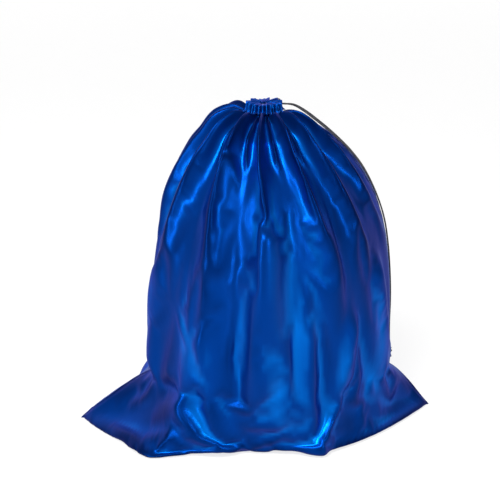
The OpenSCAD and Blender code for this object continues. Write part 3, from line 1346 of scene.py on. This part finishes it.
@dataclass
class Seams:
    """The turned-in allowances of the side and bottom seams, with their stitches."""

    cloth: SackCloth
    allowance: float = 9 * MM
    gap: float = 0.8 * MM
    ply: float = 1.0 * MM
    stitch_length: float = 3.0 * MM
    thread: float = 0.45 * MM

    def _line(self, points: Iterable[Vector]) -> list[Vector]:
        """A seam's line, moved a little inside the sack and off the floor.

        Args:
            points: the settled points along the seam.

        Returns:
            The moved points.
        """
        middle = Vector((0, 0, 0.28))
        inside = []
        for point in points:
            inward = (middle - point).normalized()
            moved = point + inward * self.gap
            moved.z = max(moved.z, 1.3 * MM)
            inside.append(moved)
        return inside

    def _strip(
        self,
        name: str,
        node: str,
        line: list[Vector],
        inward: list[Vector],
        finish: bpy.types.Material,
    ) -> None:
        """One allowance along a line.

        Args:
            name: the piece's name.
            node: the CAD node that it stands for.
            line: points along the seam.
            inward: the direction into the sack at each point.
            finish: its material.
        """
        bm = bmesh.new()
        surface(bm, len(line) - 1, 3, lambda c, r: line[c] + inward[c] * self.allowance * r / 3)
        bmesh.ops.recalc_face_normals(bm, faces=bm.faces)
        made = piece(name, bm, finish)
        ply = made.modifiers.new("ply", "SOLIDIFY")
        ply.thickness, ply.offset = self.ply, 0
        stand_for(made, node, Slot.SEAM)
        log.info("%s: %.3f m", name, length_of(line))

    def _thread(
        self,
        name: str,
        node: str,
        line: list[Vector],
        inward: list[Vector],
        finish: bpy.types.Material,
    ) -> None:
        """Both rows of stitches of a seam.

        Args:
            name: the piece's name.
            node: the CAD node that it stands for.
            line: points along the seam.
            inward: the direction into the sack at each point.
            finish: its material.
        """
        bm = bmesh.new()
        middle = [p + n * self.allowance / 2 for p, n in zip(line, inward)]
        for turn in (-1, 1):
            outs = []
            for i, n in enumerate(inward):
                along = middle[min(i + 1, len(middle) - 1)] - middle[max(i - 1, 0)]
                outs.append(along.cross(n).normalized() * turn)
            row = [p + out * (self.ply / 2 + 0.1 * MM) for p, out in zip(middle, outs)]
            stitch_row(bm, row, outs, self.stitch_length, self.thread)
        made = piece(name, bm, finish, False)
        stand_for(made, node, Slot.THREAD)

    def build(self, cloth_finish: bpy.types.Material, thread_finish: bpy.types.Material) -> None:
        """Both side seams and the bottom one.

        Args:
            cloth_finish: the allowances' material.
            thread_finish: the stitches' material.
        """
        size = self.cloth.size
        top = size.rows - 3
        first = 5
        seams = []
        for name, column in (("right", 0), ("left", size.columns)):
            line = self._line(self.cloth.points[(column, r)] for r in range(first + 1, top))
            inward = [Vector((-p.x, -p.y, 0)).normalized() for p in line]
            seams.append((f"{name}_seam", f"{name}_side_seam", line, inward))
        line = self._line(self.cloth.points[(c, 0)] for c in range(first, size.columns - first + 1))
        seams.append(("bottom_seam", "bottom_seam", line, [Vector((0, 0, 1))] * len(line)))
        for name, node, line, inward in seams:
            self._strip(f"{name}_cloth", node, line, inward, cloth_finish)
            self._thread(f"{name}_stitches", f"{name}_thread", line, inward, thread_finish)


# ---------------------------------------------------------------- drawstring


@dataclass
class Drawstring:
    """The two tails of the cord, from the casing through the lock and down to their knot."""

    diameter: float = 3 * MM
    side: float = 1.8 * MM
    exit_az: float = EXIT_AZ
    drop: float = 12.0
    cord_z: float = CORD_Z
    loop_r: float = 22 * MM
    bend_r: float = 7 * MM
    drop_u: float = 28.13 * MM
    straight_u: float = 73.5 * MM
    knot_at: tuple[float, float, float] = (0.241, 0.0, 0.124)
    front_route: tuple = (
        (62, 62, 585), (79, 56, 575), (97, 42, 563), (115, 27, 550), (135, 14, 534),
        (157, 4, 513), (181, -1, 481), (204, -3, 437), (220, -4, 392), (229, -4, 346),
        (235, -4, 290), (238, -4, 235), (238, -4, 180), (239, -3, 145), (241, -2, 124),
    )
    back_route: tuple = (
        (63, 69, 585), (83, 66, 574), (102, 54, 561), (120, 38, 548), (139, 24, 532),
        (160, 13, 511), (183, 7, 480), (205, 4, 436), (221, 3, 391), (230, 2, 345),
        (236, 2, 290), (239, 2, 235), (239, 2, 180), (240, 2, 145), (241, 2, 124),
    )

    def _out(self, u: float, v: float) -> Vector:
        """A point of the cord's straight stretch.

        Args:
            u: distance out from the sack's axis, towards the exit.
            v: distance across, counted towards the back.

        Returns:
            The point.
        """
        angle = math.radians(self.exit_az)
        x = u * math.cos(angle) - v * math.sin(angle)
        y = u * math.sin(angle) + v * math.cos(angle)
        fall = max(0.0, u - self.drop_u) * math.tan(math.radians(self.drop))
        return Vector((x, y, self.cord_z - fall))

    def _bend(self, turn: int) -> list[Vector]:
        """The bend from the loop inside the casing to the straight stretch.

        Args:
            turn: -1 for the front tail, 1 for the back one.

        Returns:
            The points of the bend, outwards.
        """
        across, reach = self.side + self.bend_r, self.loop_r + self.bend_r
        middle = math.sqrt(reach * reach - across * across)
        first = math.pi + math.asin(across / reach)
        points = []
        for k in range(8):
            a = mix(first, 1.5 * math.pi, k / 7)
            v = across + self.bend_r * math.sin(a)
            points.append(self._out(middle + self.bend_r * math.cos(a), turn * v))
        return points

    def line(self, turn: int) -> list[Vector]:
        """The middle of one tail.

        Args:
            turn: -1 for the front tail, 1 for the back one.

        Returns:
            Its points, from the loop to the knot.
        """
        v = turn * self.side
        route = self.front_route if turn < 0 else self.back_route
        start = [self._out(u, v) for u in (0.0287, 0.034, 0.042, 0.050, 0.058)]
        rest = [self._out(u, v) for u in (0.0655, self.straight_u)]
        return self._bend(turn) + start + catmull(rest + [Vector(p) * MM for p in route], 5)

    def _curve(
        self, name: str, points: Sequence[Vector], finish: bpy.types.Material, closed: bool = False
    ) -> bpy.types.Object:
        """A round cord along some points.

        Args:
            name: the piece's name.
            points: the middle of the cord.
            finish: its material.
            closed: whether its end joins its start.

        Returns:
            The cord as a curve.
        """
        data = bpy.data.curves.new(name, "CURVE")
        data.dimensions = "3D"
        data.bevel_depth = self.diameter / 2
        data.bevel_resolution = 3
        data.use_fill_caps = not closed
        spline = data.splines.new("POLY")
        spline.points.add(len(points) - 1)
        for spot, point in zip(spline.points, points):
            spot.co = (*point, 1.0)
        spline.use_cyclic_u = closed
        spline.use_smooth = True
        data.materials.append(finish)
        return linked(name, data)

    def knot(self, finish: bpy.types.Material) -> bpy.types.Object:
        """The overhand knot that ties the tails, with its two short ends.

        Args:
            finish: the cord's material.

        Returns:
            The knot as one mesh.
        """
        at = Vector(self.knot_at)
        scale = 1.75 * MM
        loop = []
        for k in range(72):
            t = 2 * math.pi * k / 72
            across = math.sin(t) + 2 * math.sin(2 * t)
            up = math.cos(t) - 2 * math.cos(2 * t)
            deep = -math.sin(3 * t)
            loop.append(at + Vector((deep * 1.5, across, up - 2.2)) * scale)
        parts = [self._curve("knot_turns", loop, finish, True)]
        for turn in (-1, 1):
            y = turn * 2.0 * MM
            ends = [
                at + Vector((0, y, -4 * MM)),
                at + Vector((0.6 * MM, y * 1.1, -9 * MM)),
                at + Vector((1.4 * MM, y * 1.5, -13 * MM)),
                at + Vector((2.4 * MM, y * 1.7, -16.5 * MM)),
            ]
            parts.append(self._curve(f"knot_end_{turn}", catmull(ends, 5), finish))
        graph = bpy.context.evaluated_depsgraph_get()
        bm = bmesh.new()
        for part in parts:
            mesh = bpy.data.meshes.new_from_object(part.evaluated_get(graph))
            bm.from_mesh(mesh)
            bpy.data.meshes.remove(mesh)
            bpy.data.objects.remove(part)
        made = piece("cord_knot", bm, finish)
        stand_for(made, "tail_knot", Slot.CORD)
        return made

    def build(self, finish: bpy.types.Material) -> None:
        """Both tails and their knot.

        Args:
            finish: the cord's material.
        """
        knot = self.knot(finish)
        for name, turn in (("front_tail", -1), ("back_tail", 1)):
            line = self.line(turn)
            tail = self._curve(f"{name}_cord", line, finish)
            stand_for(tail, name, Slot.CORD)
            length = length_of(line)
            log.info("%s_cord: %.3f m", name, length)


# ---------------------------------------------------------------- studio


@dataclass(frozen=True)
class Lamp:
    """A soft rectangular light, aimed at the sack."""

    place: tuple[float, float, float]
    size: tuple[float, float]
    power: float

    def build(self, number: int) -> None:
        """Adds the light to the scene.

        Args:
            number: tells its name from the other lights'.
        """
        data = bpy.data.lights.new(f"lamp_{number}", "AREA")
        data.shape = "RECTANGLE"
        data.size, data.size_y = self.size
        data.energy = self.power
        made = linked(f"lamp_{number}", data)
        made.location = self.place
        aim = Vector((0, 0, 0.3)) - Vector(self.place)
        made.rotation_mode = "QUATERNION"
        made.rotation_quaternion = aim.to_track_quat("-Z", "Y")


@dataclass(frozen=True)
class Studio:
    """The camera, the pale floor and the soft light."""

    distance: float = 2.25
    elevation: float = 20.0
    turn: float = 5.0
    target_z: float = 0.30
    lens: float = 93.2
    shift: tuple[float, float] = (-0.028, 0.044)
    lamps: tuple[Lamp, ...] = (
        Lamp((-0.8, -1.6, 2.4), (1.1, 0.8), 90.0),
        Lamp((-1.6, -1.5, 0.9), (0.25, 1.4), 30.0),
        Lamp((1.3, -1.9, 1.2), (0.25, 1.3), 22.0),
    )
    world: float = 0.28

    def camera(self) -> None:
        """Adds the camera, a little to the left and above."""
        up, turn = math.radians(self.elevation), math.radians(self.turn)
        reach = self.distance / math.cos(up)
        x, y = -math.sin(turn) * math.cos(up), -math.cos(turn) * math.cos(up)
        back = Vector((x, y, math.sin(up)))
        data = bpy.data.cameras.new("camera")
        data.lens = self.lens
        data.sensor_width = 36
        data.shift_x, data.shift_y = self.shift
        data.clip_start, data.clip_end = 0.1, 50
        made = linked("camera", data)
        made.location = Vector((0, 0, self.target_z)) + back * reach
        made.rotation_mode = "QUATERNION"
        made.rotation_quaternion = (-back).to_track_quat("-Z", "Y")
        bpy.context.scene.camera = made

    def room(self) -> None:
        """Adds the floor, the lights and the even light of the surroundings."""
        planes = []
        for name, grey, glow in (("floor", 0.24, 0.74), ("wall", 0.8, 1.0)):
            finish = PlainFinish((grey, grey, grey), 0.9, specular=0.1, glow=glow)
            bm = bmesh.new()
            bmesh.ops.create_grid(bm, x_segments=1, y_segments=1, size=20)
            planes.append(piece(name, bm, finish.make(f"pale_{name}"), False))
        floor, wall = planes
        wall.rotation_euler = (math.radians(90), 0, 0)
        wall.location = (0, 6, 0)
        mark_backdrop(floor, wall)
        for number, lamp in enumerate(self.lamps):
            lamp.build(number)
        world = bpy.data.worlds.new("surroundings")
        world.use_nodes = True
        light = world.node_tree.nodes["Background"]
        light.inputs["Color"].default_value = (1, 1, 1, 1)
        light.inputs["Strength"].default_value = self.world
        scene = bpy.context.scene
        scene.world = world
        scene.view_settings.view_transform = "Standard"
        scene.view_settings.look = "None"


# ---------------------------------------------------------------- assembly


@dataclass(frozen=True)
class Finishes:
    """Every finish of the object, made once."""

    nylon: NylonFinish = NylonFinish()
    seam: PlainFinish = PlainFinish((0.004, 0.022, 0.20), 0.6, grain=0.0001)
    thread: PlainFinish = PlainFinish(
        (0.004, 0.012, 0.10), 0.65, grain=0.00008, grain_scale=3000
    )
    cord: BraidFinish = BraidFinish()
    lock: PlainFinish = PlainFinish(
        (0.008, 0.008, 0.009), 0.24, coat=0.5, grain=0.00003, grain_scale=2500
    )
    plunger: PlainFinish = PlainFinish((0.010, 0.010, 0.012), 0.20, coat=0.6)
    steel: PlainFinish = PlainFinish((0.55, 0.56, 0.58), 0.28, metallic=1.0)

    def dress(self, node: str, finish: bpy.types.Material) -> None:
        """Puts a finish on a CAD node that stays in view.

        Args:
            node: the node's name.
            finish: its material.
        """
        mesh = bpy.data.objects[node].data
        for i in range(len(mesh.materials)):
            mesh.materials[i] = finish


def main(start: tuple[Vector, Vector]) -> None:
    """Builds the whole scene in order.

    Args:
        start: the CAD object's lowest and highest corner; not used.
    """
    studio = Studio()
    studio.camera()
    finishes = Finishes()
    cord = finishes.cord.make("braided_cord")
    drawstring = Drawstring()
    drawstring.build(cord)

    nylon = finishes.nylon.make("coated_nylon")
    seam = finishes.seam.make("seam_nylon")
    thread = finishes.thread.make("sewing_thread")
    cloth = SackCloth()
    cloth.simulate()
    cloth.make_room(drawstring.line(-1) + drawstring.line(1), CORD_REACH)
    for side in Side:
        cloth.panel(side, nylon)

    casing = Casing(cloth.shape)
    for side in Side:
        casing.build(side, nylon)
    casing.stitches(thread)
    casing.bar_tacks(thread)
    Seams(cloth).build(seam, thread)

    finishes.dress("drawstring_loop", cord)
    finishes.dress("lock_barrel", finishes.lock.make("moulded_lock"))
    finishes.dress("lock_plunger", finishes.plunger.make("moulded_plunger"))
    finishes.dress("lock_spring", finishes.steel.make("spring_wire"))
    studio.room()


if __name__ == "__main__":
    logging.basicConfig(level=logging.INFO, format="%(name)s: %(message)s")
    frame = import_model()
    main(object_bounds())
